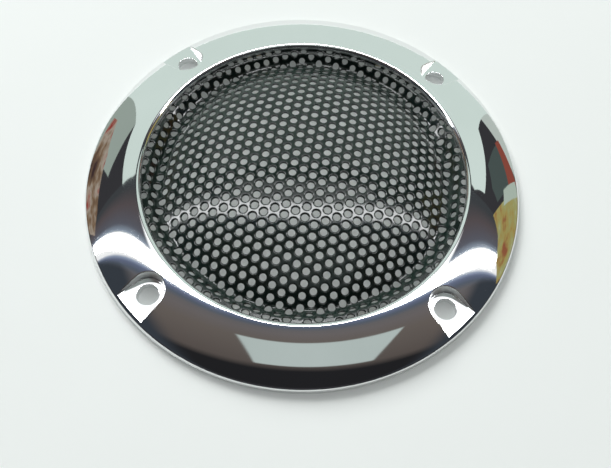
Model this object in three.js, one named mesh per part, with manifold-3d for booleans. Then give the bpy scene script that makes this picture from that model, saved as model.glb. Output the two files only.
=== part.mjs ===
// Round speaker grille cover: a bright moulded trim ring with a domed steel mesh bonded into its back.
// Millimetres, +Z up. The origin is the centre of the ring on the plane that it rests on, and the dome
// rises towards +Z. The four screw holes lie on the diagonals between the X and Y axes.

import * as THREE from 'three';
import { mergeVertices } from 'three/addons/utils/BufferGeometryUtils.js';
import Module from 'manifold-3d';

// Trim ring: a face that slopes down and out from a crest beside the opening to a short outer wall.
const OUTER_RADIUS = 53;
const OPENING_RADIUS = 39;
const CREST_RADIUS = 40.1;
const CREST_HEIGHT = 5.45;
const CREST_SLOPE = THREE.MathUtils.degToRad(4);
const FACE_RADIUS = 28;
const SHOULDER_RADIUS = 52.2;
const WALL_TOP = new THREE.Vector2(52.7, 1.15);
const EDGE_CHAMFER = 0.2;
const LIP_UNDERSIDE = 4.05;
const REBATE_RADIUS = 41.3;

// Hollow moulded into the ring's underside, crossed by ribs and by a solid boss at each screw.
const CORE_INNER_RADIUS = 42.9;
const CORE_OUTER_RADIUS = 50.9;
const CORE_INNER_HEIGHT = 3.2;
const CORE_OUTER_HEIGHT = 0.8;
const RIB_COUNT = 12;
const RIB_THICKNESS = 1.2;
const BOSS_WIDTH = 11;

// Screw seats: flat U-shaped pockets, open to the outer edge, with a plain hole through each. The
// sides spread a little towards the edge, and the walls lean back from the floor.
const SCREW_COUNT = 4;
const SCREW_CIRCLE_RADIUS = 46.75;
const SCREW_HOLE_RADIUS = 2.45;
const SEAT_HEIGHT = 1.9;
const SEAT_END_RADIUS = 3.95;
const SEAT_MOUTH_HALF_WIDTH = 4.5;
const SEAT_WALL_LEAN = THREE.MathUtils.degToRad(8);

// Mesh: a pressed dome, a round-bottomed trough, a sloping rim and a flat flange under the ring's lip.
const DOME_APEX = 9.6;
const DOME_SQUARE_TERM = 0.00343;
const DOME_FOURTH_TERM = 2.2e-6;
const DOME_FOOT_RADIUS = 34.6;
const TROUGH_RADIUS = 1.2;
const RIM_SLOPE = THREE.MathUtils.degToRad(44);
const FLANGE_OUTER_RADIUS = 41;
const FLANGE_GAP = 0.05;
const MESH_THICKNESS = 0.7;

// Adhesive: dabs in the corner between the mesh flange and the wall of the rebate.
const DAB_COUNT = 8;
const DAB_LENGTH_ANGLE = THREE.MathUtils.degToRad(13);
const DAB_WIDTH = 1.5;
const DAB_HEIGHT = 1.5;
const DAB_GAP = 0.1;

const RING_SEGMENTS = 96;
const MESH_SEGMENTS = 72;
const HOLE_SEGMENTS = 32;
const SEAT_END_SEGMENTS = 12;
const CLEAR_ABOVE = 12;

const wasm = await Module();
wasm.setup();

const chrome = new THREE.MeshStandardMaterial({ color: 0xe4e8e8, roughness: 0.04, metalness: 1 });
const blackPaint = new THREE.MeshStandardMaterial({ color: 0x0b0e0c, roughness: 0.28, metalness: 0.2 });
const hotMelt = new THREE.MeshStandardMaterial({ color: 0xd8c9a0, roughness: 0.45, metalness: 0 });

function toSolid(geometry) {
  geometry.deleteAttribute('normal');
  geometry.deleteAttribute('uv');
  const merged = mergeVertices(geometry, 1e-4);
  const triangles = [];
  const index = merged.index.array;
  for (let i = 0; i < index.length; i += 3) {
    const [a, b, c] = [index[i], index[i + 1], index[i + 2]];
    if (a !== b && b !== c && c !== a) triangles.push(a, b, c);
  }
  return new wasm.Manifold(new wasm.Mesh({
    numProp: 3,
    vertProperties: new Float32Array(merged.attributes.position.array),
    triVerts: new Uint32Array(triangles),
  }));
}

function toGeometry(solid) {
  const { vertProperties, triVerts } = solid.getMesh();
  const geometry = new THREE.BufferGeometry();
  geometry.setAttribute('position', new THREE.BufferAttribute(vertProperties, 3));
  geometry.setIndex(new THREE.BufferAttribute(triVerts, 1));
  geometry.computeVertexNormals();
  return geometry;
}

// Turns a closed section of [radius, height] points, listed anticlockwise, about the Z axis.
function turned(section, segments) {
  const closed = [...section, section[0]];
  return new THREE.LatheGeometry(closed, segments).rotateX(Math.PI / 2);
}

function arcPoints(centre, radius, from, to, steps) {
  return Array.from({ length: steps + 1 }, (_, i) => {
    const angle = from + ((to - from) * i) / steps;
    return new THREE.Vector2(centre.x + radius * Math.cos(angle), centre.y + radius * Math.sin(angle));
  });
}

// The ring's face is one large arc. Its centre follows from the crest's place and slope.
const faceCentre = new THREE.Vector2(
  CREST_RADIUS - FACE_RADIUS * Math.sin(CREST_SLOPE),
  CREST_HEIGHT - FACE_RADIUS * Math.cos(CREST_SLOPE),
);

// The lip rolls from the crest into the opening on an arc that continues the face.
const rollRadius = (CREST_RADIUS - OPENING_RADIUS) / (1 + Math.sin(CREST_SLOPE));
const rollCentre = new THREE.Vector2(
  CREST_RADIUS - rollRadius * Math.sin(CREST_SLOPE),
  CREST_HEIGHT - rollRadius * Math.cos(CREST_SLOPE),
);

function ringSection() {
  const shoulderAngle = Math.acos((SHOULDER_RADIUS - faceCentre.x) / FACE_RADIUS);
  const crestAngle = Math.PI / 2 - CREST_SLOPE;
  return [
    new THREE.Vector2(OUTER_RADIUS - EDGE_CHAMFER, 0),
    new THREE.Vector2(OUTER_RADIUS, EDGE_CHAMFER),
    WALL_TOP,
    ...arcPoints(faceCentre, FACE_RADIUS, shoulderAngle, crestAngle, 7),
    ...arcPoints(rollCentre, rollRadius, crestAngle, Math.PI, 5).slice(1),
    new THREE.Vector2(OPENING_RADIUS, LIP_UNDERSIDE),
    new THREE.Vector2(REBATE_RADIUS, LIP_UNDERSIDE),
    new THREE.Vector2(REBATE_RADIUS, 0),
  ];
}

function radialBlock(width, angle) {
  const length = OUTER_RADIUS;
  const block = new THREE.BoxGeometry(length, width, CLEAR_ABOVE);
  return toSolid(block.translate(length / 2, 0, 0).rotateZ(angle));
}

function undersideHollow() {
  let hollow = toSolid(turned([
    new THREE.Vector2(CORE_INNER_RADIUS, -1),
    new THREE.Vector2(CORE_OUTER_RADIUS, -1),
    new THREE.Vector2(CORE_OUTER_RADIUS, CORE_OUTER_HEIGHT),
    new THREE.Vector2(CORE_INNER_RADIUS, CORE_INNER_HEIGHT),
  ], RING_SEGMENTS));
  for (let i = 0; i < RIB_COUNT; i += 1) {
    hollow = hollow.subtract(radialBlock(RIB_THICKNESS, (i * 2 * Math.PI) / RIB_COUNT));
  }
  for (let i = 0; i < SCREW_COUNT; i += 1) {
    hollow = hollow.subtract(radialBlock(BOSS_WIDTH, screwAngle(i)));
  }
  return hollow;
}

function screwAngle(i) {
  return ((i + 0.5) * 2 * Math.PI) / SCREW_COUNT;
}

// The cutter for a seat: its upper outline is the floor's outline grown about the hole's centre.
function screwSeat(angle) {
  const mouth = OUTER_RADIUS + 1 - SCREW_CIRCLE_RADIUS;
  const outline = new THREE.Shape();
  outline.moveTo(mouth, SEAT_MOUTH_HALF_WIDTH);
  outline.lineTo(0, SEAT_END_RADIUS);
  outline.absarc(0, 0, SEAT_END_RADIUS, Math.PI / 2, (3 * Math.PI) / 2, false);
  outline.lineTo(mouth, -SEAT_MOUTH_HALF_WIDTH);
  const options = { depth: CLEAR_ABOVE, bevelEnabled: false, curveSegments: SEAT_END_SEGMENTS };
  const cutter = new THREE.ExtrudeGeometry(outline, options);
  const growth = 1 + (CLEAR_ABOVE * Math.tan(SEAT_WALL_LEAN)) / SEAT_END_RADIUS;
  const corners = cutter.attributes.position;
  for (let i = 0; i < corners.count; i += 1) {
    if (corners.getZ(i) > 0) corners.setXY(i, corners.getX(i) * growth, corners.getY(i) * growth);
  }
  return toSolid(cutter.translate(SCREW_CIRCLE_RADIUS, 0, SEAT_HEIGHT).rotateZ(angle));
}

function screwHole(angle) {
  const cylinder = new THREE.CylinderGeometry(
    SCREW_HOLE_RADIUS, SCREW_HOLE_RADIUS, CLEAR_ABOVE, HOLE_SEGMENTS,
  );
  return toSolid(cylinder.rotateX(Math.PI / 2).translate(SCREW_CIRCLE_RADIUS, 0, 0).rotateZ(angle));
}

function trimRing() {
  let ring = toSolid(turned(ringSection(), RING_SEGMENTS)).subtract(undersideHollow());
  for (let i = 0; i < SCREW_COUNT; i += 1) {
    ring = ring.subtract(screwSeat(screwAngle(i))).subtract(screwHole(screwAngle(i)));
  }
  return toGeometry(ring);
}

function domeHeight(radius) {
  return DOME_APEX - DOME_SQUARE_TERM * radius ** 2 - DOME_FOURTH_TERM * radius ** 4;
}

function domeSlope(radius) {
  return Math.atan(2 * DOME_SQUARE_TERM * radius + 4 * DOME_FOURTH_TERM * radius ** 3);
}

// The upper surface of the mesh, from the apex out to the edge of the flange.
function meshUpperLine() {
  const domeSteps = 8;
  const points = Array.from({ length: domeSteps }, (_, i) => {
    const radius = (DOME_FOOT_RADIUS * i) / domeSteps;
    return new THREE.Vector2(radius, domeHeight(radius));
  });
  const footSlope = domeSlope(DOME_FOOT_RADIUS);
  const troughCentre = new THREE.Vector2(
    DOME_FOOT_RADIUS + TROUGH_RADIUS * Math.sin(footSlope),
    domeHeight(DOME_FOOT_RADIUS) + TROUGH_RADIUS * Math.cos(footSlope),
  );
  const down = (3 * Math.PI) / 2;
  points.push(...arcPoints(troughCentre, TROUGH_RADIUS, down - footSlope, down + RIM_SLOPE, 4));
  const flangeHeight = LIP_UNDERSIDE - FLANGE_GAP;
  const rimFoot = points[points.length - 1];
  const rimTopRadius = rimFoot.x + (flangeHeight - rimFoot.y) / Math.tan(RIM_SLOPE);
  points.push(new THREE.Vector2(rimTopRadius, flangeHeight));
  points.push(new THREE.Vector2(FLANGE_OUTER_RADIUS, flangeHeight));
  return points;
}

// The lower surface lies straight below the upper one, as on a sheet pressed between two dies.
function grilleMesh() {
  const upper = meshUpperLine();
  const lower = upper.map((point) => new THREE.Vector2(point.x, point.y - MESH_THICKNESS));
  return toGeometry(toSolid(turned([...lower, ...upper.reverse()], MESH_SEGMENTS)));
}

// A dab fills the corner under the flange: a short stretch of a three-sided fillet with cut ends.
function adhesiveDab() {
  const top = LIP_UNDERSIDE - FLANGE_GAP - MESH_THICKNESS - DAB_GAP;
  const outer = REBATE_RADIUS - DAB_GAP;
  const fillet = turned([
    new THREE.Vector2(outer, top - DAB_HEIGHT),
    new THREE.Vector2(outer, top),
    new THREE.Vector2(outer - DAB_WIDTH, top),
    new THREE.Vector2(outer - DAB_WIDTH * 0.7, top - DAB_HEIGHT * 0.55),
  ], RING_SEGMENTS);
  const length = REBATE_RADIUS * DAB_LENGTH_ANGLE;
  const stretch = new THREE.BoxGeometry(OUTER_RADIUS, length, CLEAR_ABOVE);
  return toGeometry(toSolid(fillet).intersect(toSolid(stretch.translate(OUTER_RADIUS / 2, 0, 0))));
}

function piece(name, geometry, material) {
  const mesh = new THREE.Mesh(geometry, material);
  mesh.name = name;
  return mesh;
}

const group = new THREE.Group();
group.add(piece('trim_ring', trimRing(), chrome));
group.add(piece('grille_mesh', grilleMesh(), blackPaint));
for (let i = 0; i < DAB_COUNT; i += 1) {
  const dab = piece(`adhesive_dab_${i + 1}`, adhesiveDab(), hotMelt);
  dab.rotation.z = ((i + 0.5) * 2 * Math.PI) / DAB_COUNT;
  group.add(dab);
}

export default group;
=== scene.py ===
"""Looks of a round speaker grille cover: a mirror-bright trim ring round a domed, perforated black mesh.

Lengths are in millimetres until a mesh or a light is made, and angles are in degrees in the named values.
"""

import math

import bmesh
import bpy
import numpy as np
from mathutils import Matrix, Vector
from mathutils.geometry import delaunay_2d_cdt


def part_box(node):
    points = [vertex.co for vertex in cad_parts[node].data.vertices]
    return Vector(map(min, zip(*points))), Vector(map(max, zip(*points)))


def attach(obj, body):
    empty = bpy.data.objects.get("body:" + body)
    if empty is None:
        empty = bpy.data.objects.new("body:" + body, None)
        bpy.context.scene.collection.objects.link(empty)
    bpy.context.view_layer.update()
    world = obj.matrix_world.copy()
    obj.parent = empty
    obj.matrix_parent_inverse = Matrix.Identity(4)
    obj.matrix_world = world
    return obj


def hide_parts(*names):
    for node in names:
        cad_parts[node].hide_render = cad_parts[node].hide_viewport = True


MM = 0.001

# Points that round to one place on these grids are joined. Both are steps per millimetre.
FINE_WELD = 2e4
SHEET_WELD = 2e3

# Halvings of a search
HALVINGS = 50

# Camera: where it looks, from how far and at what angle.
AIM = Vector((7.3, -14.6, 0.0))
VIEW_DISTANCE = 159.3
VIEW_ELEVATION = 62.05
VIEW_AZIMUTH = -2.97
VIEW_ROLL = 5.54
FOCAL_LENGTH = 39.5
SHIFT_X = -0.0445
SENSOR_WIDTH = 36.0
CLIP_START = 0.01

# Trim ring: the face is one large arc from the crest, beside the opening, out to the shoulder.
CREST_RADIUS = 40.1
CREST_SLOPE = 4.0
FACE_RADIUS = 28.0
SHOULDER_RADIUS = 52.2
SHOULDER_INSET = 0.22
WALL_DRAFT = 0.03
WALL_STRAIGHT = 0.3
WALL_FOOT_HEIGHT = 0.3
EDGE_ROUND = 0.25
OPENING_RADIUS = 39.0
LIP_UNDERSIDE = 4.05
LIP_ROUND = 0.15
REBATE_RADIUS = 41.3
REBATE_ROUND = 0.2
CORE_INNER_RADIUS = 42.9
CORE_OUTER_RADIUS = 50.9
CORE_INNER_HEIGHT = 3.2
CORE_OUTER_HEIGHT = 0.8
CORE_ROWS = 10
CORE_STEPS = 16
RIB_THICKNESS = 1.2
BOSS_WIDTH = 11.0
RING_STEPS = 360
ROLL_STEPS = 14
FACE_ROWS = 26
FACE_CLEARANCE = 0.22

# Screw seats
SCREW_CIRCLE_RADIUS = 46.75
SCREW_HOLE_RADIUS = 2.45
SEAT_HEIGHT = 1.9
SEAT_END_RADIUS = 3.95
SEAT_SPREAD = 0.076
SEAT_WALL_LEAN = 4.0
SEAT_FLOOR_ROUND = 0.2
SEAT_EDGE_ROUND = 0.28
SEAT_LENGTH_LIMIT = 10.0
SEAT_RISE_LIMIT = 5.0
SEAT_SIDE_STEPS = 24
SEAT_SIDE_CROWDING = 1.3
SEAT_END_STEPS = 60
MOUTH_STEPS = 24
MOUTH_EDGE_WIDTH = 0.13
MOUTH_EDGE_TAPER = 0.5
HOLE_EDGE_ROUND = 0.15
HOLE_STEPS = 48

# Mesh sheet: dome, trough, rim and flange, with round holes on a triangular grid.
DOME_SQUARE_TERM = 0.00343
DOME_FOURTH_TERM = 2.2e-6
DOME_FOOT_RADIUS = 34.6
TROUGH_RADIUS = 1.2
RIM_SLOPE = 44.0
BEND_RADIUS = 0.7
FLANGE_GAP = 0.05
SHEET_THICKNESS = 0.4
HOLE_PITCH = 2.623
GRID_TURN = 23.53
GRID_OFFSET = (0.29, 2.60)
GRID_ROWS_EACH_WAY = 25
GRID_REACH = 45.0
DOME_STRETCH = 0.055
MESH_HOLE_RADIUS = 0.87
MESH_EDGE_ROUND = 0.38
MESH_EDGE_DROP = 0.28
STEEP_SHRINK = 0.4
EDGE_STEPS = 3
CUT_EDGE_TILT = 135.0
ARC_SHARE = 0.999
CELL_SIDES = 18
CELL_REACH = 1.7
DRAW_RADIUS = 38.0
RIM_STEPS = 240
MARGIN_RADII = (38.6, 39.0, 39.6, 40.3)
MARGIN_STEPS = 180
MARGIN_CLEARANCE = 1.75
MARGIN_WIDTH = 5.0

# Hot-melt dabs. A wobble of the section is a sine wave: its share of the width, the angle in radians that it
# runs through over half the dab, and its shift in radians from one dab to the next.
DAB_COUNT = 8
DAB_HALF_ANGLE = 6.5
DAB_WIDTH = 1.55
DAB_DEPTH = 1.6
DAB_OVERLAP = 0.02
DAB_END_POWER = 3.2
DAB_SECTION_POWER = 0.8
DAB_SAG = 0.22
DAB_WOBBLES = ((0.10, 5.1, 1.7), (0.06, 12.3, 2.9))
DAB_ROWS = 40
DAB_SIDES = 20
DAB_WELD = 0.002

# Plating on steep walls and on the underside
SATIN_ROUGHNESS = 0.35

# Places of a colour mix's sockets among its inputs, and of its result among its outputs
MIX_SHARE, MIX_LOWER, MIX_UPPER, MIX_RESULT = 0, 6, 7, 2

# Studio: distances overhead are shares of the ceiling's height.
CEILING_HEIGHT = 1500.0
CEILING_NEAR = -1.6
CEILING_EDGE = 0.64
CEILING_SIDE = 4.0
STRIP_LEFT, STRIP_RIGHT = -3.2, 1.6
STRIP_NEAR, STRIP_FAR = 0.215, 0.345
STRIP_RADIANCE = 14.0
STRIP_SPREAD = 0.047
STRIP_COLOUR = (0.97, 0.99, 1.0)
STRIP_GAP = 5.0
CEILING_TONES = (
    (-0.62, (0.017, 0.017, 0.019)),
    (-0.50, (0.105, 0.088, 0.080)),
    (-0.10, (0.140, 0.120, 0.108)),
    (0.04, (0.150, 0.135, 0.135)),
    (0.10, (0.140, 0.132, 0.136)),
    (0.150, (0.097, 0.116, 0.150)),
    (0.195, (0.130, 0.155, 0.240)),
    (0.222, (0.300, 0.360, 0.480)),
    (0.240, (1.000, 1.000, 1.000)),
)
FAR_TONES = (
    (0.352, (1.000, 1.000, 1.000)),
    (0.364, (0.260, 0.320, 0.400)),
    (0.410, (0.100, 0.105, 0.130)),
    (0.520, (0.095, 0.078, 0.082)),
    (0.600, (0.050, 0.055, 0.060)),
)
ROOM_SLATE = (0.040, 0.048, 0.060)
CARD_COLOUR = (0.48, 0.55, 0.53)
PANEL_COLOUR = (1.3, 1.32, 1.34)

# Bands of the ceiling, rows along Y and columns along X: start, end and softness of the edges
SLATE_ROWS, CLEAR_COLUMNS = (-2.0, 0.09, 0.05), (-1.0, 1.05, 0.25)
FAR_ROWS = (0.33, 2.0, 0.001)
CARD_ROWS, CARD_COLUMNS = (-0.52, -0.10, 0.012), (-0.24, 0.43, 0.012)
PANEL_ROWS, PANEL_COLUMNS = (0.30, 0.50, 0.01), (-0.45, 0.40, 0.02)

# Screens round the object, and the clutter at the sides of the room
SCREEN_RADIUS = 1200.0
SCREEN_STEPS = 24
SCREEN_LAYER_GAP = 0.01
SCREEN_COLOUR = (0.66, 0.77, 0.72)
SCREEN_FOOT_COLOUR = (0.50, 0.56, 0.52)
LEFT_SCREEN_COLOUR = (0.32, 0.38, 0.34)
SIDE_SCREEN_COLOUR = (0.068, 0.090, 0.085)
RED_BOX_COLOUR = (0.26, 0.07, 0.05)
WHITE_BOX_COLOUR = (0.42, 0.50, 0.43)
CLUTTER_SCALE = 4.5
LEFT_SHELF_TONES = (
    (0.30, (0.05, 0.03, 0.03)),
    (0.45, (0.20, 0.13, 0.08)),
    (0.54, (0.38, 0.33, 0.27)),
    (0.64, (0.28, 0.05, 0.04)),
)
RIGHT_SHELF_TONES = (
    (0.34, (0.28, 0.10, 0.05)),
    (0.43, (0.36, 0.28, 0.09)),
    (0.55, (0.34, 0.34, 0.14)),
    (0.66, (0.46, 0.46, 0.34)),
)

# Table, unseen lamps that only light the scene, and the dim room
TABLE_REACH = 4000.0
TABLE_DROP = 0.02
# Painted light: strength of the table's even glow, which lightens its shade under the mesh and beside the
# ring.
TABLE_GLOW = 0.13
BACK_LAMP_PLACE, BACK_LAMP_SIZE, BACK_LAMP_RADIANCE = (-800, 1600, 960), (1610, 736), 17.0
TOP_LAMP_PLACE, TOP_LAMP_SIZE, TOP_LAMP_RADIANCE = (0, 60, 900), (1200, 800), 0.5
WHITE = (1, 1, 1)
ROOM_COLOUR = (0.95, 0.95, 1.05)
ROOM_STRENGTH = 0.04

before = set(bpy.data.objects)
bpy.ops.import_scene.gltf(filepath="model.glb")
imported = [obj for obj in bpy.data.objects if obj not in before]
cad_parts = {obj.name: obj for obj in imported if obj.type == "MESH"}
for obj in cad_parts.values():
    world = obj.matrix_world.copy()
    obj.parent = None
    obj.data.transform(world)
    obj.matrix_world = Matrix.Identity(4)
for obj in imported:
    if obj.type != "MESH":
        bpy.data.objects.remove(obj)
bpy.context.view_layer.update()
ring_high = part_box("trim_ring")[1]
mesh_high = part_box("grille_mesh")[1]
OUTER_RADIUS = ring_high.x / MM
CREST_HEIGHT = ring_high.z / MM
FLANGE_RADIUS = mesh_high.x / MM
DOME_APEX = mesh_high.z / MM


# ---- mesh helpers


class Surface:
    """Collects patches of faces with a normal at each corner, and welds the points that they share."""

    def __init__(self):
        self.points = []
        self.index = {}
        self.faces = []
        self.normals = []

    def point(self, position):
        key = tuple(int(round(c * FINE_WELD)) for c in position)
        if key not in self.index:
            self.index[key] = len(self.points)
            self.points.append(tuple(position))
        return self.index[key]

    def face(self, corners, normals):
        """Adds a face; corners that fall on one point are dropped, and its order follows its normals."""
        kept = []
        for corner, normal in zip(corners, normals):
            i = self.point(corner)
            if i not in [k for k, _ in kept]:
                kept.append((i, normal))
        if len(kept) < 3:
            return
        a, b, c = (np.array(self.points[kept[j][0]]) for j in (0, 1, 2))
        winding = np.cross(b - a, c - a)
        if len(kept) == 4:
            winding = winding + np.cross(c - a, np.array(self.points[kept[3][0]]) - a)
        if np.dot(winding, np.sum([n for _, n in kept], axis=0)) < 0:
            kept.reverse()
        self.faces.append([i for i, _ in kept])
        self.normals.extend(tuple(n) for _, n in kept)

    def grid(self, positions, normals, closed=False):
        """positions[i][j] and normals[i][j]: rows along a curve, columns across it."""
        rows = len(positions)
        for i in range(rows if closed else rows - 1):
            k = (i + 1) % rows
            for j in range(len(positions[i]) - 1):
                corners = [positions[i][j], positions[k][j], positions[k][j + 1], positions[i][j + 1]]
                around = [normals[i][j], normals[k][j], normals[k][j + 1], normals[i][j + 1]]
                self.face(corners, around)

    def to_object(self, name, material):
        mesh = bpy.data.meshes.new(name)
        mesh.from_pydata([tuple(c * MM for c in p) for p in self.points], [], self.faces)
        mesh.polygons.foreach_set("use_smooth", [True] * len(mesh.polygons))
        mesh.normals_split_custom_set(self.normals)
        mesh.update()
        return linked_object(name, mesh, material)


def linked_object(name, mesh, material):
    """Puts a mesh with its material into the scene."""
    mesh.materials.append(material)
    thing = bpy.data.objects.new(name, mesh)
    bpy.context.scene.collection.objects.link(thing)
    return thing


def largest(limit, fits):
    """The largest number from 0 to the limit for which fits holds, found by halving."""
    low, high = 0.0, limit
    for _ in range(HALVINGS):
        middle = (low + high) / 2
        if fits(middle):
            low = middle
        else:
            high = middle
    return low


def unit(v):
    v = np.asarray(v, float)
    return v / max(np.linalg.norm(v), 1e-12)


def polar(radius, angle, height):
    return np.array((radius * math.cos(angle), radius * math.sin(angle), height))


def bezier(a, corner, b, steps):
    """Points of a rounded corner from a to b, without the first."""
    a, corner, b = (np.asarray(p, float) for p in (a, corner, b))
    ts = [(i + 1) / steps for i in range(steps)]
    return [(1 - t) ** 2 * a + 2 * t * (1 - t) * corner + t * t * b for t in ts]


def profile_normals(profile):
    """Normals of a section line, on the left of its direction of travel."""
    steps = np.diff(np.array(profile), axis=0)
    lengths = np.linalg.norm(steps, axis=1)
    tangents = steps / lengths[:, None]
    out = [tangents[0]]
    for i in range(1, len(tangents)):
        out.append(unit(tangents[i - 1] * lengths[i - 1] + tangents[i] * lengths[i]))
    out.append(tangents[-1])
    return [(-t[1], t[0]) for t in out]


def turn(surface, profile, normals):
    """Turns a section line of (radius, height) points, and its normals, about the Z axis."""
    angles = [2 * math.pi * i / RING_STEPS for i in range(RING_STEPS)]
    rows = [[polar(r, a, z) for r, z in profile] for a in angles]
    row_normals = [[polar(n[0], a, n[1]) for n in normals] for a in angles]
    surface.grid(rows, row_normals, closed=True)


def circle(radius, steps=RING_STEPS):
    angles = [2 * math.pi * i / steps for i in range(steps)]
    return np.array([(radius * math.cos(a), radius * math.sin(a)) for a in angles])


def inside(points, polygon):
    """Which of the points lie inside a closed polygon, by counting crossings."""
    x, y = points[:, 0], points[:, 1]
    crossed = np.zeros(len(points), bool)
    for (x0, y0), (x1, y1) in zip(polygon, np.roll(polygon, -1, axis=0)):
        straddles = (y0 > y) != (y1 > y)
        if straddles.any():
            at = x0 + (y - y0) * (x1 - x0) / ((y1 - y0) or 1e-12)
            crossed ^= straddles & (x < at)
    return crossed


def constrained(coords, edges):
    """Triangles over plan points that keep to the given edges."""
    found = delaunay_2d_cdt([Vector((float(p[0]), float(p[1]))) for p in coords], edges, [], 0, 1e-6)
    plan = []
    for place, sources in zip(found[0], found[3]):
        plan.append(coords[sources[0]] if sources else tuple(place))
    return np.array([(float(p[0]), float(p[1])) for p in plan]), [tuple(f) for f in found[2]]


def filled(points, loops, outer):
    """Plan points, and triangles over them that lie inside the loop numbered outer and outside the others."""
    coords = [tuple(p) for p in points]
    edges = []
    for loop in loops:
        start, count = len(coords), len(loop)
        coords.extend(tuple(p) for p in loop)
        edges.extend((start + i, start + (i + 1) % count) for i in range(count))
    plan, triangles = constrained(coords, edges)
    centres = np.array([plan[list(t)].mean(axis=0) for t in triangles])
    keep = np.ones(len(triangles), bool)
    for number, loop in enumerate(loops):
        keep &= inside(centres, loop) == (number == outer)
    return plan, [t for t, wanted in zip(triangles, keep) if wanted]


# ---- trim ring

FACE_CENTRE_R = CREST_RADIUS - FACE_RADIUS * math.sin(math.radians(CREST_SLOPE))
FACE_CENTRE_Z = CREST_HEIGHT - FACE_RADIUS * math.cos(math.radians(CREST_SLOPE))
SHOULDER_HEIGHT = FACE_CENTRE_Z + math.sqrt(FACE_RADIUS**2 - (SHOULDER_RADIUS - FACE_CENTRE_R) ** 2)
SEAT_MOUTH_RADIUS = FACE_CENTRE_R + math.sqrt(FACE_RADIUS**2 - (SEAT_HEIGHT - FACE_CENTRE_Z) ** 2)


def face_height(r):
    return FACE_CENTRE_Z + math.sqrt(FACE_RADIUS**2 - (r - FACE_CENTRE_R) ** 2)


def face_point(x, y):
    return np.array((x, y, face_height(math.hypot(x, y))))


def face_normal(x, y):
    r = math.hypot(x, y)
    out = (r - FACE_CENTRE_R) / FACE_RADIUS
    up = (face_height(r) - FACE_CENTRE_Z) / FACE_RADIUS
    return np.array((out * x / r, out * y / r, up))


def lip_profile():
    """Section of the back rebate, the lip's underside and the roll that carries the face into the opening."""
    back, lip, opening = REBATE_RADIUS, LIP_UNDERSIDE, OPENING_RADIUS
    slope = math.radians(CREST_SLOPE)
    roll = (CREST_RADIUS - opening) / (1 + math.sin(slope))
    centre_r, centre_z = CREST_RADIUS - roll * math.sin(slope), CREST_HEIGHT - roll * math.cos(slope)
    line = [(back + REBATE_ROUND, 0.0)]
    line += bezier(line[0], (back, 0), (back, REBATE_ROUND), 3)
    line += bezier((back, lip - REBATE_ROUND), (back, lip), (back - REBATE_ROUND, lip), 4)
    line += bezier((opening + LIP_ROUND, lip), (opening, lip), (opening, lip + LIP_ROUND), 4)
    for i in range(ROLL_STEPS + 1):
        a = math.pi - (math.pi / 2 + slope) * i / ROLL_STEPS
        line.append((centre_r + roll * math.cos(a), centre_z + roll * math.sin(a)))
    return line


def wall_profile():
    """Section of the shoulder, the outer wall and its foot."""
    fall = math.asin((SHOULDER_RADIUS - FACE_CENTRE_R) / FACE_RADIUS)
    corner_r = OUTER_RADIUS - SHOULDER_INSET
    corner = (corner_r, SHOULDER_HEIGHT - (corner_r - SHOULDER_RADIUS) * math.tan(fall))
    line = [(SHOULDER_RADIUS, SHOULDER_HEIGHT)]
    line += bezier(line[0], corner, (OUTER_RADIUS - WALL_DRAFT, WALL_FOOT_HEIGHT + WALL_STRAIGHT), 10)
    line.append((OUTER_RADIUS, WALL_FOOT_HEIGHT))
    line += bezier(line[-1], (OUTER_RADIUS, 0), (OUTER_RADIUS - EDGE_ROUND, 0), 5)
    return line


def seat_frame(turns):
    """Radial and tangential directions of a screw seat."""
    a = math.radians(45 + 90 * turns)
    return np.array((math.cos(a), math.sin(a))), np.array((-math.sin(a), math.cos(a)))


def seat_stations():
    """Floor outline of a seat, from one corner of its mouth to the other, with its outward normals.

    Both are in (radial, sideways) coordinates.
    """
    centre = np.array((SCREW_CIRCLE_RADIUS, 0.0))
    lean = math.atan(SEAT_SPREAD)
    side = np.array((-math.sin(lean), math.cos(lean)))
    start = centre + SEAT_END_RADIUS * side
    along = np.array((math.cos(lean), math.sin(lean)))

    def within_mouth(reach):
        return np.linalg.norm(start + along * reach) < SEAT_MOUTH_RADIUS

    length = largest(SEAT_LENGTH_LIMIT, within_mouth)
    points, normals = [], []
    for i in range(SEAT_SIDE_STEPS):
        points.append(start + along * length * (1 - i / SEAT_SIDE_STEPS) ** SEAT_SIDE_CROWDING)
        normals.append(side)
    for i in range(SEAT_END_STEPS + 1):
        a = math.pi / 2 + lean + (math.pi - 2 * lean) * i / SEAT_END_STEPS
        normals.append(np.array((math.cos(a), math.sin(a))))
        points.append(centre + SEAT_END_RADIUS * normals[-1])
    points += [p * (1, -1) for p in reversed(points[:SEAT_SIDE_STEPS])]
    normals += [n * (1, -1) for n in reversed(normals[:SEAT_SIDE_STEPS])]
    return points, normals


def seat_section(point, normal):
    """Points from a seat's floor up its leaning wall to the face, in 3-D, at one station of its outline."""
    lean = math.tan(math.radians(SEAT_WALL_LEAN))

    def under_face(rise):
        return SEAT_HEIGHT + rise < face_height(np.linalg.norm(point + normal * rise * lean))

    rise = largest(SEAT_RISE_LIMIT, under_face)
    foot = min(SEAT_FLOOR_ROUND, 0.45 * rise)
    brim = min(SEAT_EDGE_ROUND, 0.45 * rise)

    def at(out, height):
        return np.array((*(point + normal * out), height))

    on_face = point + normal * (rise * lean + brim)
    line = [at(-foot, SEAT_HEIGHT)]
    line += bezier(line[0], at(0, SEAT_HEIGHT), at(foot * lean, SEAT_HEIGHT + foot), 5)
    corner = at(rise * lean, SEAT_HEIGHT + rise)
    last = np.array((*on_face, face_height(np.linalg.norm(on_face))))
    line += [at((rise - brim) * lean, SEAT_HEIGHT + rise - brim)]
    line += bezier(line[-1], corner, last, 5)
    return line


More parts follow.
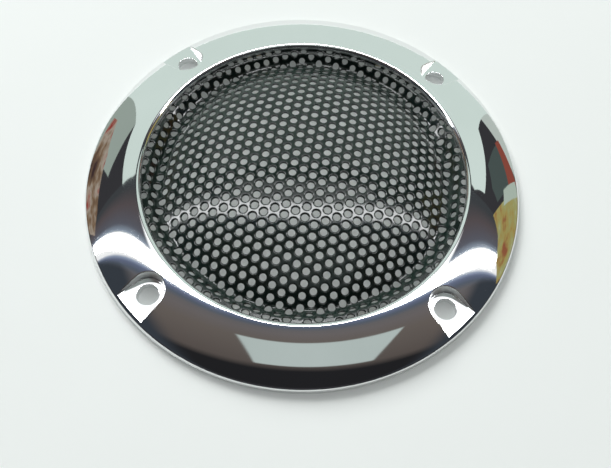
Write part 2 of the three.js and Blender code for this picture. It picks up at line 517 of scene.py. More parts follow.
def mouth_arcs(corner):
    """Plan points along the mouth of a seat, on the floor side and on the face side of its edge."""
    reach = math.atan2(corner[1], corner[0])
    floor_side, edge, face_side = [], [], []
    for i in range(MOUTH_STEPS + 1):
        a = -reach + 2 * reach * i / MOUTH_STEPS
        room = (1 - abs(a) / reach) * SEAT_MOUTH_RADIUS * reach
        width = MOUTH_EDGE_WIDTH * min(1, room / MOUTH_EDGE_TAPER)
        direction = np.array((math.cos(a), math.sin(a)))
        floor_side.append(direction * (SEAT_MOUTH_RADIUS - width))
        edge.append(direction * SEAT_MOUTH_RADIUS)
        face_side.append(direction * (SEAT_MOUTH_RADIUS + width))
    return floor_side, edge, face_side


def add_seat(ring, turns):
    """Adds a seat and its hole, and returns the plan loops of the cut in the face and of the hole."""
    radial, sideways = seat_frame(turns)
    place = np.zeros((3, 3))
    place[:2, 0], place[:2, 1], place[2, 2] = radial, sideways, 1
    stations, outward = seat_stations()
    rows = [[place @ p for p in seat_section(s, n)] for s, n in zip(stations, outward)]
    normals = []
    for i, row in enumerate(rows):
        before, after = rows[max(i - 1, 0)], rows[min(i + 1, len(rows) - 1)]
        line = []
        for j, p in enumerate(row):
            across = row[min(j + 1, len(row) - 1)] - row[max(j - 1, 0)]
            normal = np.cross(across, after[j] - before[j])
            line.append(unit(normal * (1 if np.dot(normal, (0, 0, 1)) > 0 else -1)))
        line[0] = np.array((0, 0, 1.0))
        line[-1] = face_normal(*row[-1][:2])
        normals.append(line)
    normals[0] = [face_normal(*p[:2]) for p in rows[0]]
    normals[-1] = [face_normal(*p[:2]) for p in rows[-1]]
    ring.grid(rows, normals)

    floor_side, edge, face_side = mouth_arcs(stations[0])
    strip, strip_normals = [], []
    for f, e, g in zip(floor_side, edge, face_side):
        a, b = np.array((*f, SEAT_HEIGHT)), np.array((*e, SEAT_HEIGHT))
        c = np.array((*g, face_height(np.linalg.norm(g))))
        strip.append([place @ p for p in [a] + bezier(a, b, c, 4)])
        last = face_normal(*strip[-1][-1][:2])
        first = np.array((0, 0, 1.0))
        strip_normals.append([unit(first * (1 - t / 4) + last * t / 4) for t in range(5)])
    ring.grid(strip, strip_normals)

    floor_loop = [row[0][:2] for row in rows] + [row[0][:2] for row in strip[1:-1]]
    face_loop = [row[-1][:2] for row in rows] + [row[-1][:2] for row in strip[1:-1]]
    centre = radial * SCREW_CIRCLE_RADIUS
    hole = add_hole(ring, centre)
    add_flat(ring, [np.array(floor_loop), hole], 0, SEAT_HEIGHT, 1)
    return np.array(face_loop), hole


def add_hole(ring, centre):
    """Adds the wall of a screw hole, with rounded edges, and returns its plan loop."""
    edge, radius = HOLE_EDGE_ROUND, SCREW_HOLE_RADIUS
    section = [(radius + edge, 0.0)]
    section += bezier(section[0], (radius, 0), (radius, edge), 3)
    section += bezier((radius, SEAT_HEIGHT - edge), (radius, SEAT_HEIGHT), (radius + edge, SEAT_HEIGHT), 4)
    around = profile_normals(section)
    around[0], around[-1] = (0, -1), (0, 1)
    angles = [2 * math.pi * i / HOLE_STEPS for i in range(HOLE_STEPS)]
    shift = np.array((*centre, 0))
    rows = [[shift + polar(r, a, z) for r, z in section] for a in angles]
    normals = [[polar(n[0], a, n[1]) for n in around] for a in angles]
    ring.grid(rows, normals, closed=True)
    return np.array([row[0][:2] for row in rows])


def add_flat(ring, loops, outer, height, side):
    """Adds a level area that faces up (side 1) or down (side -1), inside one loop and outside the others."""
    plan, triangles = filled([], loops, outer)
    for t in triangles:
        ring.face([(*plan[i], height) for i in t], [(0, 0, side)] * 3)


def add_face(ring, seat_loops):
    """Adds the bright top face between the crest and the shoulder, cut to the seats."""
    width = SHOULDER_RADIUS - CREST_RADIUS
    points = np.concatenate([circle(CREST_RADIUS + width * j / FACE_ROWS) for j in range(1, FACE_ROWS)])
    for loop in seat_loops:
        gaps = np.min(np.linalg.norm(points[:, None] - loop[None], axis=2), axis=1)
        points = points[(gaps > FACE_CLEARANCE) & ~inside(points, loop)]
    plan, triangles = filled(points, [circle(CREST_RADIUS), circle(SHOULDER_RADIUS), *seat_loops], 1)
    for t in triangles:
        corners = [plan[i] for i in t]
        ring.face([face_point(*c) for c in corners], [face_normal(*c) for c in corners])


def core_sides():
    """Start and end side of each hollow, as (angle in degrees, half width of the rib or boss there)."""
    rib, boss = RIB_THICKNESS / 2, BOSS_WIDTH / 2
    sides = []
    for quarter in range(4):
        start = 90 * quarter
        sides.append(((start, rib), (start + 30, rib)))
        sides.append(((start + 30, rib), (start + 45, boss)))
        sides.append(((start + 45, boss), (start + 60, rib)))
        sides.append(((start + 60, rib), (start + 90, rib)))
    return sides


def add_core(ring, start, end):
    """Adds one hollow of the underside and returns its plan loop."""
    grid = []
    for j in range(CORE_ROWS + 1):
        r = CORE_INNER_RADIUS + (CORE_OUTER_RADIUS - CORE_INNER_RADIUS) * j / CORE_ROWS
        a0 = math.radians(start[0]) + math.asin(start[1] / r)
        a1 = math.radians(end[0]) - math.asin(end[1] / r)
        grid.append([(r, a0 + (a1 - a0) * i / CORE_STEPS) for i in range(CORE_STEPS + 1)])
    slope = (CORE_OUTER_HEIGHT - CORE_INNER_HEIGHT) / (CORE_OUTER_RADIUS - CORE_INNER_RADIUS)

    def ceiling(r):
        return CORE_INNER_HEIGHT + slope * (r - CORE_INNER_RADIUS)

    down = unit((slope, -1))
    ring.grid(
        [[polar(r, a, ceiling(r)) for r, a in line] for line in grid],
        [[polar(down[0], a, down[1]) for r, a in line] for line in grid],
    )
    border = grid[0][:-1] + [line[-1] for line in grid[:-1]]
    border += grid[-1][:0:-1] + [line[0] for line in grid[:0:-1]]
    middle = polar(*grid[CORE_ROWS // 2][CORE_STEPS // 2], 0)
    for k, (r, a) in enumerate(border):
        r1, a1 = border[(k + 1) % len(border)]
        low0, low1 = polar(r, a, 0), polar(r1, a1, 0)
        normal = unit(np.cross(low1 - low0, (0, 0, 1)))
        if np.dot(normal, middle - low0) < 0:
            normal = -normal
        ring.face([low0, low1, polar(r1, a1, ceiling(r1)), polar(r, a, ceiling(r))], [normal] * 4)
    return np.array([polar(r, a, 0)[:2] for r, a in border])


def make_ring(material):
    ring = Surface()
    lip = lip_profile()
    lip_normals = profile_normals(lip)
    lip_normals[0] = (0, -1)
    lip_normals[-1] = (math.sin(math.radians(CREST_SLOPE)), math.cos(math.radians(CREST_SLOPE)))
    turn(ring, lip, lip_normals)
    wall = wall_profile()
    wall_normals = profile_normals(wall)
    wall_normals[0] = (
        (SHOULDER_RADIUS - FACE_CENTRE_R) / FACE_RADIUS,
        (SHOULDER_HEIGHT - FACE_CENTRE_Z) / FACE_RADIUS,
    )
    wall_normals[-1] = (0, -1)
    turn(ring, wall, wall_normals)
    seats = [add_seat(ring, k) for k in range(4)]
    add_face(ring, [loop for loop, _ in seats])
    holes = [hole for _, hole in seats]
    cores = [add_core(ring, start, end) for start, end in core_sides()]
    inner, outer = circle(lip[0][0]), circle(wall[-1][0])
    add_flat(ring, [inner, outer, *holes, *cores], 1, 0.0, -1)
    return ring.to_object("trim_ring_chrome", material)


# ---- perforated sheet


def sheet_corners():
    """Radii and heights where the sheet's section changes from dome to trough, rim and flange."""
    foot = DOME_FOOT_RADIUS
    foot_z = DOME_APEX - DOME_SQUARE_TERM * foot**2 - DOME_FOURTH_TERM * foot**4
    fall = math.atan(2 * DOME_SQUARE_TERM * foot + 4 * DOME_FOURTH_TERM * foot**3)
    rise = math.radians(RIM_SLOPE)
    trough_r = foot + TROUGH_RADIUS * math.sin(fall)
    trough_z = foot_z + TROUGH_RADIUS * math.cos(fall)
    rim_r = trough_r + TROUGH_RADIUS * math.sin(rise)
    rim_z = trough_z - TROUGH_RADIUS * math.cos(rise)
    flange_z = LIP_UNDERSIDE - FLANGE_GAP
    bend = rim_r + (flange_z - rim_z) / math.tan(rise)
    return trough_r, trough_z, rim_r, rim_z, flange_z, bend


def sheet_surface(x, y):
    """Heights and unit normals of the sheet's upper surface over plan points."""
    trough_r, trough_z, rim_r, rim_z, flange_z, bend = sheet_corners()
    rise = math.radians(RIM_SLOPE)
    tangent = math.tan(rise / 2)
    r = np.hypot(x, y)
    dome = DOME_APEX - DOME_SQUARE_TERM * r**2 - DOME_FOURTH_TERM * r**4
    dome_slope = -2 * DOME_SQUARE_TERM * r - 4 * DOME_FOURTH_TERM * r**3
    from_trough = np.clip(r - trough_r, -TROUGH_RADIUS * ARC_SHARE, TROUGH_RADIUS * ARC_SHARE)
    trough_drop = np.sqrt(TROUGH_RADIUS**2 - from_trough**2)
    rim = rim_z + (r - rim_r) * math.tan(rise)
    bend_start = bend - BEND_RADIUS * tangent * math.cos(rise)
    bend_end = bend + BEND_RADIUS * tangent
    from_bend = np.clip(bend_end - r, 0, BEND_RADIUS * ARC_SHARE)
    bend_drop = np.sqrt(BEND_RADIUS**2 - from_bend**2)
    zones = [r < DOME_FOOT_RADIUS, r < rim_r, r < bend_start, r < bend_end]
    z = np.select(zones, [dome, trough_z - trough_drop, rim, flange_z - BEND_RADIUS + bend_drop], flange_z)
    slopes = [dome_slope, from_trough / trough_drop, np.full_like(r, math.tan(rise)), from_bend / bend_drop]
    slope = np.select(zones, slopes, 0.0)
    safe = np.maximum(r, 1e-9)
    normals = np.stack([-slope * x / safe, -slope * y / safe, np.ones_like(r)], axis=-1)
    return z, normals / np.linalg.norm(normals, axis=-1, keepdims=True)


def drawn(points):
    """Moves flat grid points to where pressing puts them, which spreads the holes at the dome's middle."""
    r = np.linalg.norm(points, axis=-1, keepdims=True)
    return points * (1 - DOME_STRETCH * ((r / DRAW_RADIUS) ** 2 - 1))


def grid_holes():
    """Places of the holes on the flat grid before pressing, with the grid's two steps."""
    a, b = math.radians(GRID_TURN), math.radians(GRID_TURN + 60)
    step = HOLE_PITCH * np.array([(math.cos(a), math.sin(a)), (math.cos(b), math.sin(b))])
    found = []
    limit = FLANGE_RADIUS - MARGIN_CLEARANCE
    numbers = range(-GRID_ROWS_EACH_WAY, GRID_ROWS_EACH_WAY + 1)
    for i in numbers:
        for j in numbers:
            flat = np.array(GRID_OFFSET) + i * step[0] + j * step[1]
            if np.linalg.norm(flat) < GRID_REACH and np.linalg.norm(drawn(flat)) < limit:
                found.append(flat)
    return np.array(found), step


def cell_border(step):
    """Plan offsets of the points round one six-sided cell of the flat grid."""
    sixth = math.pi / 3
    turned = np.array([(math.cos(sixth), -math.sin(sixth)), (math.sin(sixth), math.cos(sixth))])
    corners = [(step[0] + step[1]) / 3]
    for _ in range(6):
        corners.append(turned @ corners[-1])
    per_side = CELL_SIDES // 6
    points = []
    for start, end in zip(corners, corners[1:]):
        for t in range(per_side):
            points.append(start + (end - start) * t / per_side)
    return np.array(points)


def edge_rings():
    """Radius, depth and tilt of each ring of points down a hole, from the flat round it to the underside."""
    rings = []
    for i in range(EDGE_STEPS + 1):
        a = i / EDGE_STEPS * math.pi / 2
        radius = MESH_HOLE_RADIUS + MESH_EDGE_ROUND * (1 - math.sin(a))
        drop = MESH_EDGE_DROP * (1 - math.cos(a))
        tilt = math.atan2(MESH_EDGE_DROP * math.sin(a), MESH_EDGE_ROUND * math.cos(a))
        rings.append((radius, drop, tilt))
    rings.append((MESH_HOLE_RADIUS, SHEET_THICKNESS, math.radians(CUT_EDGE_TILT)))
    return rings


def squeezed(headings, holes, centres):
    """Unit offsets round each hole, narrowed where the pressed sheet is steep or gathered."""
    outward = centres / np.linalg.norm(centres, axis=1, keepdims=True)
    gathered = 1 - DOME_STRETCH * (3 * (np.linalg.norm(holes, axis=1) / DRAW_RADIUS) ** 2 - 1)
    level = sheet_surface(centres[:, 0], centres[:, 1])[1][:, 2]
    kept = np.minimum(level, gathered)[:, None]
    across = (1 - kept) * (outward @ headings.T)
    offsets = headings[None] - across[..., None] * outward[:, None]
    return offsets * (1 - STEEP_SHRINK * (1 - kept))[..., None]


def sheet_layer(plan, depth, tilt, headings):
    """Points and unit normals at one depth in the sheet; the normals lean to the middles of the holes."""
    z, up = sheet_surface(plan[..., 0], plan[..., 1])
    inward = np.concatenate([-headings, np.zeros((len(headings), 1))], axis=1)
    inward = inward - up * np.sum(up * inward, axis=-1, keepdims=True)
    inward = inward / np.linalg.norm(inward, axis=-1, keepdims=True)
    points = np.concatenate([plan, z[..., None]], axis=-1) - up * depth
    return points, up * math.cos(tilt) + inward * math.sin(tilt)


def make_sheet(material):
    holes, step = grid_holes()
    border = cell_border(step)
    headings = border / np.linalg.norm(border, axis=1, keepdims=True)
    centres = drawn(holes)
    cells = drawn(holes[:, None] + border[None])
    offsets = squeezed(headings, holes, centres)
    layers = [sheet_layer(cells, 0.0, 0.0, headings)]
    for radius, depth, tilt in edge_rings():
        layers.append(sheet_layer(centres[:, None] + offsets * radius, depth, tilt, headings))
    layers.append(sheet_layer(cells, SHEET_THICKNESS, math.pi, headings))
    points = np.stack([places for places, _ in layers], axis=1)
    normals = np.stack([directions for _, directions in layers], axis=1)
    ids = np.arange(points.size // 3).reshape(points.shape[:3])
    after = np.roll(ids, -1, axis=2)
    quads = np.stack([ids[:, :-1], after[:, :-1], after[:, 1:], ids[:, 1:]], axis=-1).reshape(-1, 4)
    margin_points, margin_normals, margin_faces = sheet_margin(cells, centres)
    start = points.size // 3
    points = np.concatenate([points.reshape(-1, 3), margin_points])
    normals = np.concatenate([normals.reshape(-1, 3), margin_normals])
    faces = [tuple(quad) for quad in quads]
    faces += [tuple(start + i for i in face) for face in margin_faces]
    return welded_object("perforated_dome", points, normals, faces, material)


def welded_object(name, points, normals, faces, material):
    """An object whose points that lie together are joined, with the given normals."""
    keys = np.round(points * SHEET_WELD).astype(np.int64)
    _, first, where = np.unique(keys, axis=0, return_index=True, return_inverse=True)
    where = where.reshape(-1)
    joined = []
    for face in faces:
        corners = [int(where[i]) for i in face]
        if len(set(corners)) == len(corners):
            joined.append(corners)
    mesh = bpy.data.meshes.new(name)
    mesh.from_pydata([tuple(p * MM) for p in points[first]], [], joined)
    mesh.polygons.foreach_set("use_smooth", [True] * len(mesh.polygons))
    mesh.update()
    mesh.normals_split_custom_set_from_vertices([tuple(n) for n in normals[first]])
    return linked_object(name, mesh, material)


def open_edges(cells):
    """The outer border of the cells: its points, and its edges as pairs of numbers."""
    border = cells.reshape(-1, 2)
    keys = np.round(border * SHEET_WELD).astype(np.int64)
    _, first, where = np.unique(keys, axis=0, return_index=True, return_inverse=True)
    seen = {}
    for cell in where.reshape(cells.shape[:2]):
        for i in range(len(cell)):
            a, b = int(cell[i]), int(cell[(i + 1) % len(cell)])
            key = (min(a, b), max(a, b))
            seen[key] = None if key in seen else (a, b)
    edges = [edge for edge in seen.values() if edge]
    used = sorted({i for edge in edges for i in edge})
    number = {i: k for k, i in enumerate(used)}
    return [border[first[i]] for i in used], [(number[a], number[b]) for a, b in edges]


def in_a_cell(point, cells, centres):
    """Whether a plan point lies in one of the cells whose centres are near it."""
    near = np.nonzero(np.linalg.norm(centres - point, axis=1) < CELL_REACH)[0]
    return any(inside(point[None], cells[k])[0] for k in near)


def sheet_margin(cells, centres):
    """The blank edge of the sheet: both skins between the outermost cells and the rim, and its cut edge."""
    coords, edges = open_edges(cells)
    rim = circle(FLANGE_RADIUS, RIM_STEPS)
    start = len(coords)
    coords += list(rim)
    edges += [(start + i, start + (i + 1) % len(rim)) for i in range(len(rim))]
    for radius in MARGIN_RADII:
        for p in circle(radius, MARGIN_STEPS):
            if np.min(np.linalg.norm(centres - p, axis=1)) > MARGIN_CLEARANCE:
                coords.append(p)
    plan, triangles = constrained(coords, edges)
    z, normals = sheet_surface(plan[:, 0], plan[:, 1])
    upper = np.concatenate([plan, z[:, None]], axis=1)
    faces = []
    for triangle in triangles:
        a, b, c = (plan[i] for i in triangle)
        middle = (a + b + c) / 3
        if np.linalg.norm(middle) < FLANGE_RADIUS - MARGIN_WIDTH or in_a_cell(middle, cells, centres):
            continue
        turned = (b[0] - a[0]) * (c[1] - a[1]) > (b[1] - a[1]) * (c[0] - a[0])
        order = tuple(triangle) if turned else tuple(triangle)[::-1]
        faces.append(order)
        faces.append(tuple(len(plan) + i for i in order[::-1]))
    middle_z = LIP_UNDERSIDE - FLANGE_GAP - SHEET_THICKNESS / 2
    edge = np.array([(x, y, middle_z) for x, y in rim])
    out = np.array([(x / FLANGE_RADIUS, y / FLANGE_RADIUS, 0.0) for x, y in rim])
    lookup = {tuple(np.round(p, 4)): i for i, p in enumerate(plan)}
    rim_ids = [lookup[tuple(np.round(p, 4))] for p in rim]
    base = 2 * len(plan)
    for i in range(len(rim)):
        k = (i + 1) % len(rim)
        a, b = rim_ids[i], rim_ids[k]
        faces.append((b, a, base + i, base + k))
        faces.append((base + k, base + i, len(plan) + a, len(plan) + b))
    points = np.concatenate([upper, upper - normals * SHEET_THICKNESS, edge])
    return points, np.concatenate([normals, -normals, out]), faces


# ---- hot-melt dabs


def dab_section(t, angle, number):
    """Points round a dab at one place along it, where t runs from -1 to 1."""
    top = LIP_UNDERSIDE - FLANGE_GAP - SHEET_THICKNESS + DAB_OVERLAP
    wall = REBATE_RADIUS - DAB_OVERLAP
    swell = math.sqrt(max(0.0, 1 - abs(math.sin(t * math.pi / 2)) ** DAB_END_POWER))
    wobble = 1.0
    for share, along, shift in DAB_WOBBLES:
        wobble += share * math.sin(along * t + shift * number)
    width = DAB_WIDTH * swell * wobble
    depth = DAB_DEPTH * swell * (2 - wobble)
    points = []
    for j in range(DAB_SIDES):
        s = 2 * math.pi * j / DAB_SIDES
        across = math.copysign(abs(math.cos(s)) ** DAB_SECTION_POWER, math.cos(s))
        up = math.copysign(abs(math.sin(s)) ** DAB_SECTION_POWER, math.sin(s))
        r = wall - width / 2 + width / 2 * across
        z = top - depth / 2 + depth / 2 * up
        sag = DAB_SAG * swell * max(0, -across) * max(0, -up)
        points.append(tuple(polar(r + sag, angle, z + sag) * MM))
    return points


def make_dab(node, number, material):
    """A lump of hot melt with rounded, uneven ends, in the corner of the sheet's flange and the rebate."""
    low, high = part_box(node)
    centre_angle = math.atan2(low.y + high.y, low.x + high.x)
    half = math.radians(DAB_HALF_ANGLE)
    points, faces = [], []
    for i in range(DAB_ROWS + 1):
        t = -1 + 2 * i / DAB_ROWS
        points += dab_section(t, centre_angle + half * math.sin(t * math.pi / 2), number)
    for i in range(DAB_ROWS):
        here, there = i * DAB_SIDES, (i + 1) * DAB_SIDES
        for j in range(DAB_SIDES):
            k = (j + 1) % DAB_SIDES
            faces.append((here + j, here + k, there + k, there + j))
    faces.append(tuple(range(DAB_SIDES))[::-1])
    faces.append(tuple(DAB_ROWS * DAB_SIDES + j for j in range(DAB_SIDES)))
    name = "glue_dab_%d" % number
    mesh = bpy.data.meshes.new(name)
    mesh.from_pydata(points, [], faces)
    mesh.validate()
    soft = bmesh.new()
    soft.from_mesh(mesh)
    bmesh.ops.remove_doubles(soft, verts=soft.verts, dist=DAB_WELD * MM)
    bmesh.ops.recalc_face_normals(soft, faces=soft.faces)
    soft.to_mesh(mesh)
    soft.free()
    mesh.polygons.foreach_set("use_smooth", [True] * len(mesh.polygons))
    return linked_object(name, mesh, material)


# ---- materials


class Nodes:
    """A material's node tree, with short ways to add a node and to join two."""

    def __init__(self, name):
        self.material = bpy.data.materials.new(name)
        self.material.use_nodes = True
        self.tree = self.material.node_tree
        self.shader = self.tree.nodes["Principled BSDF"]
        self.coordinates = self.tree.nodes.new("ShaderNodeTexCoord")

    def add(self, kind, **inputs):
        node = self.tree.nodes.new(kind)
        for name, value in inputs.items():
            node.inputs[name.replace("_", " ")].default_value = value
        return node

    def join(self, source, target):
        self.tree.links.new(source, target)

    def noise(self, scale, detail=4.0, roughness=0.55):
        node = self.add("ShaderNodeTexNoise", Scale=scale, Detail=detail, Roughness=roughness)
        self.join(self.coordinates.outputs["Object"], node.inputs["Vector"])
        return node.outputs["Fac"]

    def ramp(self, source, low, high, start=0.3, end=0.7):
        """Maps a noise value onto a range of numbers."""
        node = self.add("ShaderNodeMapRange", From_Min=start, From_Max=end, To_Min=low, To_Max=high)
        self.join(source, node.inputs["Value"])
        return node.outputs["Result"]

    def colours(self, source, *stops):
        """Maps a noise value onto colours given as (place, (r, g, b))."""
        node = self.add("ShaderNodeValToRGB")
        elements = node.color_ramp.elements
        while len(elements) < len(stops):
            elements.new(0.5)
        for element, (place, colour) in zip(elements, stops):
            element.position = place
            element.color = (*colour, 1)
        self.join(source, node.inputs["Fac"])
        return node.outputs["Color"]

    def arithmetic(self, operation, first, second):
        """The result of an operation on a value and either another value or a number."""
        node = self.tree.nodes.new("ShaderNodeMath")
        node.operation = operation
        self.join(first, node.inputs[0])
        if isinstance(second, float):
            node.inputs[1].default_value = second
        else:
            self.join(second, node.inputs[1])
        return node.outputs["Value"]

    def bump(self, height, strength, distance):
        node = self.add("ShaderNodeBump", Strength=strength, Distance=distance)
        self.join(height, node.inputs["Height"])
        self.join(node.outputs["Normal"], self.shader.inputs["Normal"])


def set_shader(shader, **values):
    for name, value in values.items():
        shader.inputs[name.replace("_", " ")].default_value = value


def set_glow(shader, colour):
    """Makes a surface that reflects nothing and gives off an even light."""
    set_shader(shader, Base_Color=(0, 0, 0, 1), Specular_IOR_Level=0.0, Emission_Strength=1.0)
    shader.inputs["Emission Color"].default_value = (*colour, 1)


def chrome_material():
    """Bright plating: polished where it faces up, satin on steep walls and underneath."""
    n = Nodes("bright_plating")
    set_shader(n.shader, Metallic=1.0)
    tint = n.colours(n.noise(38.0, 3), (0.3, (0.83, 0.84, 0.84)), (0.7, (0.88, 0.885, 0.89)))
    n.join(tint, n.shader.inputs["Base Color"])
    haze = n.ramp(n.noise(120.0, 5), 0.018, 0.05)
    facing = n.add("ShaderNodeSeparateXYZ")
    n.join(n.coordinates.outputs["Normal"], facing.inputs["Vector"])
    satin = n.ramp(facing.outputs["Z"], SATIN_ROUGHNESS, 0.0, 0.2, 0.5)
    n.join(n.arithmetic("ADD", haze, satin), n.shader.inputs["Roughness"])
    n.bump(n.noise(330.0, 2), 0.05, 0.00002)
    return n.material


def paint_material():
    """Gloss black paint with a faint green tint and slight orange peel."""
    n = Nodes("black_paint")
    tint = n.colours(n.noise(260.0, 4), (0.3, (0.005, 0.011, 0.009)), (0.7, (0.010, 0.020, 0.016)))
    n.join(tint, n.shader.inputs["Base Color"])
    gloss = n.ramp(n.noise(500.0, 3), 0.06, 0.10)
    n.join(gloss, n.shader.inputs["Roughness"])
    set_shader(n.shader, IOR=1.5)
    n.bump(n.noise(2600.0, 2), 0.06, 0.00003)
    return n.material


def melt_material():
    """Cloudy, amber hot-melt glue."""
    n = Nodes("hot_melt_glue")
    set_shader(n.shader, Subsurface_Weight=0.35, Subsurface_Scale=0.001)
    tint = n.colours(n.noise(300.0, 3), (0.3, (0.55, 0.42, 0.22)), (0.7, (0.74, 0.63, 0.42)))
    n.join(tint, n.shader.inputs["Base Color"])
    gloss = n.ramp(n.noise(700.0, 3), 0.25, 0.42)
    n.join(gloss, n.shader.inputs["Roughness"])
    n.bump(n.noise(900.0, 3), 0.3, 0.0001)
    return n.material


def table_material():
    """White paper with painted light: a faint even glow that lightens the table, also where the mesh and the
    ring shade it.
    """
    n = Nodes("white_table")
    tint = n.colours(n.noise(9.0, 3), (0.3, (0.76, 0.785, 0.775)), (0.7, (0.775, 0.80, 0.79)))
    n.join(tint, n.shader.inputs["Base Color"])
    rough = n.ramp(n.noise(40.0, 3), 0.5, 0.6)
    n.join(rough, n.shader.inputs["Roughness"])
    # Painted light: the emission lightens the table evenly, also in the shade under the mesh and beside the
    # ring.
    set_shader(n.shader, Specular_IOR_Level=0.2, Emission_Strength=TABLE_GLOW)
    n.shader.inputs["Emission Color"].default_value = (0.93, 1.0, 0.97, 1)
    n.bump(n.noise(1500.0, 2), 0.05, 0.00002)
    return n.material


def glow_material(name, colour):
    """A plain surface that gives off an even light."""
    material = bpy.data.materials.new(name)
    material.use_nodes = True
    set_glow(material.node_tree.nodes["Principled BSDF"], colour)
    return material


def ceiling_material():
    """The dim room overhead: tones on each side of the strip lamp, a bright panel and a pale card."""
    n = Nodes("room_ceiling")
    set_glow(n.shader, WHITE)
    axes = n.add("ShaderNodeSeparateXYZ")
    n.join(n.coordinates.outputs["Object"], axes.inputs["Vector"])
    h = CEILING_HEIGHT * MM

    def band(axis, low, high, soft):
        """1 between two places along an axis, given as shares of the ceiling's height, and 0 beyond."""
        up = n.add("ShaderNodeMapRange", From_Min=(low - soft) * h, From_Max=(low + soft) * h)
        down = n.add("ShaderNodeMapRange", From_Min=(high + soft) * h, From_Max=(high - soft) * h)
        for step in (up, down):
            step.interpolation_type = "SMOOTHSTEP"
            n.join(axes.outputs[axis], step.inputs["Value"])
        return n.arithmetic("MULTIPLY", up.outputs["Result"], down.outputs["Result"])

    def over(below, colour, mask):
        """Lays a plain colour, or the colour from another node, over what is below."""
        mix = n.tree.nodes.new("ShaderNodeMix")
        mix.data_type = "RGBA"
        n.join(mask, mix.inputs[MIX_SHARE])
        n.join(below, mix.inputs[MIX_LOWER])
        if isinstance(colour, tuple):
            mix.inputs[MIX_UPPER].default_value = (*colour, 1)
        else:
            n.join(colour, mix.inputs[MIX_UPPER])
        return mix.outputs[MIX_RESULT]

    def patch(below, colour, rows, columns):
        return over(below, colour, n.arithmetic("MULTIPLY", band("Y", *rows), band("X", *columns)))

    def tones(place, stops):
        """Colours along the ceiling, from places given as shares of its height."""
        node = n.add("ShaderNodeMapRange", From_Min=-h, From_Max=h)
        n.join(place, node.inputs["Value"])
        return n.colours(node.outputs["Result"], *(((y + 1) / 2, colour) for y, colour in stops))

    sideways = n.arithmetic("ABSOLUTE", axes.outputs["X"], 0.0)
    spread = n.arithmetic("MULTIPLY", sideways, STRIP_SPREAD)
    shade = tones(n.arithmetic("ADD", axes.outputs["Y"], spread), CEILING_TONES)
    slate = n.arithmetic("SUBTRACT", band("Y", *SLATE_ROWS), band("X", *CLEAR_COLUMNS))
    shade = over(shade, ROOM_SLATE, n.arithmetic("MAXIMUM", slate, 0.0))
    shade = over(shade, tones(axes.outputs["Y"], FAR_TONES), band("Y", *FAR_ROWS))
    shade = patch(shade, CARD_COLOUR, CARD_ROWS, CARD_COLUMNS)
    shade = patch(shade, PANEL_COLOUR, PANEL_ROWS, PANEL_COLUMNS)
    n.join(shade, n.shader.inputs["Emission Color"])
    return n.material


# ---- studio


def stage_object(name, points, faces, material):
    mesh = bpy.data.meshes.new(name)
    mesh.from_pydata([tuple(c * MM for c in p) for p in points], [], faces)
    thing = linked_object(name, mesh, material)
    return thing


def add_table():
    signs = ((-1, -1), (1, -1), (1, 1), (-1, 1))
    corners = [(x * TABLE_REACH, y * TABLE_REACH, -TABLE_DROP) for x, y in signs]
    stage_object("table", corners, [(0, 1, 2, 3)], table_material())


def screen(name, layer, material, start, end, lows, tops):
    """An upright screen that curves round the object between two headings; higher layers stand nearer.

    Its lower and upper edges follow the elevations in lows and tops, spread evenly between the headings.
    Headings and elevations are in degrees, seen from the middle of the object.
    """
    radius = SCREEN_RADIUS * (1 - SCREEN_LAYER_GAP * layer)
    points, faces = [], []
    for i in range(SCREEN_STEPS + 1):
        share = i / SCREEN_STEPS
        a = math.radians(start + (end - start) * share)
        for heights in (lows, tops):
            place = share * (len(heights) - 1)
            k = min(int(place), len(heights) - 2)
            elevation = heights[k] + (heights[k + 1] - heights[k]) * (place - k)
            points.append(tuple(polar(radius, a, radius * math.tan(math.radians(elevation)))))
    for i in range(SCREEN_STEPS):
        faces.append((2 * i, 2 * i + 1, 2 * i + 3, 2 * i + 2))
    thing = stage_object(name, points, faces, material)
    thing.visible_shadow = False


def clutter_material(name, tones):
    """Blurred shapes of shelves and boxes at the sides of a room."""
    n = Nodes(name)
    set_glow(n.shader, WHITE)
    n.join(n.colours(n.noise(CLUTTER_SCALE, 3, 0.6), *tones), n.shader.inputs["Emission Color"])
    return n.material


def add_screens():
    """The pale backdrop behind the object, and what stands at the sides of the room."""
    pale = glow_material("pale_backdrop", SCREEN_COLOUR)
    screen("pale_screen", 0, pale, 51, 131, (0, 0), (50, 55.5, 57.3, 55.8, 50))
    screen("pale_left_corner", 0, pale, 131, 142, (33, 44), (50, 44.1))
    screen("pale_right_corner", 0, pale, 41, 51, (43.3, 26), (43.4, 50))
    foot = glow_material("dim_backdrop", SCREEN_FOOT_COLOUR)
    screen("pale_right_foot", 1, foot, 30, 51, (0, 0), (6, 15))
    grey = glow_material("left_backdrop", LEFT_SCREEN_COLOUR)
    screen("left_screen", 1, grey, 131, 149, (0, 0), (33, 32, 30))
    dark = glow_material("side_backdrop", SIDE_SCREEN_COLOUR)
    screen("side_screen", 0, dark, 31, 43.5, (0, 0), (33, 36, 34))
    red = glow_material("red_box", RED_BOX_COLOUR)
    screen("right_label", 2, red, 31, 44, (8, 10), (18, 16))
    white = glow_material("white_box", WHITE_BOX_COLOUR)
    screen("right_box", 4, white, 27.5, 32, (9, 9), (27, 25))
    shelves = clutter_material("left_shelves", LEFT_SHELF_TONES)
    screen("left_clutter", 3, shelves, 137, 170, (5, 6), (12, 22, 24, 25, 22))
    boxes = clutter_material("right_shelves", RIGHT_SHELF_TONES)
    screen("right_clutter", 3, boxes, 0, 29, (9, 7), (24, 31, 33, 38))


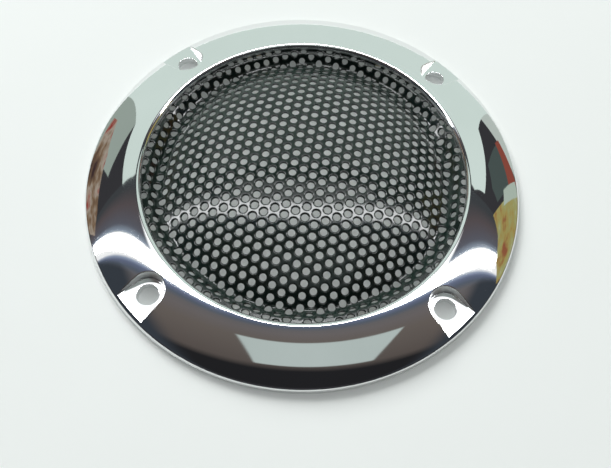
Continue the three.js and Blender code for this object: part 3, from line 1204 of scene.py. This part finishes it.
def add_ceiling():
    """The ceiling, which the object mirrors but which neither lights it nor shades it."""
    side = CEILING_SIDE * CEILING_HEIGHT
    near = CEILING_NEAR * CEILING_HEIGHT
    far = CEILING_EDGE * CEILING_HEIGHT
    corners = [(-side, near, 0), (side, near, 0), (side, far, 0), (-side, far, 0)]
    ceiling = stage_object("ceiling", corners, [(0, 1, 2, 3)], ceiling_material())
    ceiling.location.z = CEILING_HEIGHT * MM
    ceiling.visible_shadow = False
    ceiling.visible_diffuse = False


def add_area_light(name, centre, size, radiance, colour, mirrored):
    """A rectangular lamp of a given brightness, which the object only mirrors or which only lights it."""
    lamp = bpy.data.lights.new(name, "AREA")
    lamp.shape = "RECTANGLE"
    lamp.size, lamp.size_y = size[0] * MM, size[1] * MM
    lamp.energy = radiance * math.pi * lamp.size * lamp.size_y
    lamp.color = colour
    thing = bpy.data.objects.new(name, lamp)
    thing.location = Vector(centre) * MM
    if not mirrored:
        thing.rotation_euler = (-thing.location).to_track_quat("-Z", "Y").to_euler()
    thing.visible_glossy = mirrored
    thing.visible_diffuse = not mirrored
    bpy.context.scene.collection.objects.link(thing)


def add_lights():
    """The strip lamp that the object mirrors, and two unseen lamps that light it."""
    h = CEILING_HEIGHT - STRIP_GAP
    place = ((STRIP_LEFT + STRIP_RIGHT) / 2 * h, (STRIP_NEAR + STRIP_FAR) / 2 * h, h)
    size = ((STRIP_RIGHT - STRIP_LEFT) * h, (STRIP_FAR - STRIP_NEAR) * h)
    add_area_light("strip_lamp", place, size, STRIP_RADIANCE, STRIP_COLOUR, True)
    add_area_light("back_lamp", BACK_LAMP_PLACE, BACK_LAMP_SIZE, BACK_LAMP_RADIANCE, WHITE, False)
    add_area_light("top_lamp", TOP_LAMP_PLACE, TOP_LAMP_SIZE, TOP_LAMP_RADIANCE, WHITE, False)


def add_camera():
    camera = bpy.data.cameras.new("camera")
    camera.lens = FOCAL_LENGTH
    camera.sensor_width = SENSOR_WIDTH
    camera.shift_x = SHIFT_X
    camera.clip_start = CLIP_START
    view = bpy.data.objects.new("camera", camera)
    tilt = Matrix.Rotation(math.radians(90 - VIEW_ELEVATION), 4, "X")
    heading = Matrix.Rotation(math.radians(VIEW_AZIMUTH), 4, "Z")
    roll = Matrix.Rotation(math.radians(VIEW_ROLL), 4, "Z")
    turned = heading @ tilt @ roll
    back = turned.to_3x3() @ Vector((0, 0, 1))
    turned.translation = (AIM + back * VIEW_DISTANCE) * MM
    view.matrix_world = turned
    bpy.context.scene.collection.objects.link(view)
    bpy.context.scene.camera = view


def add_world():
    world = bpy.data.worlds.new("dim_room")
    world.use_nodes = True
    background = world.node_tree.nodes["Background"]
    background.inputs["Color"].default_value = (*ROOM_COLOUR, 1)
    background.inputs["Strength"].default_value = ROOM_STRENGTH
    bpy.context.scene.world = world


# ---- assembly


add_world()
add_table()
add_screens()
add_ceiling()
add_lights()
add_camera()
bpy.context.scene.view_settings.view_transform = "Standard"

ring = make_ring(chrome_material())
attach(ring, "root")
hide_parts("trim_ring")

sheet = make_sheet(paint_material())
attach(sheet, "root")
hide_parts("grille_mesh")

melt = melt_material()
for number in range(1, DAB_COUNT + 1):
    node = "adhesive_dab_%d" % number
    dab = make_dab(node, number, melt)
    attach(dab, "root")
    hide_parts(node)
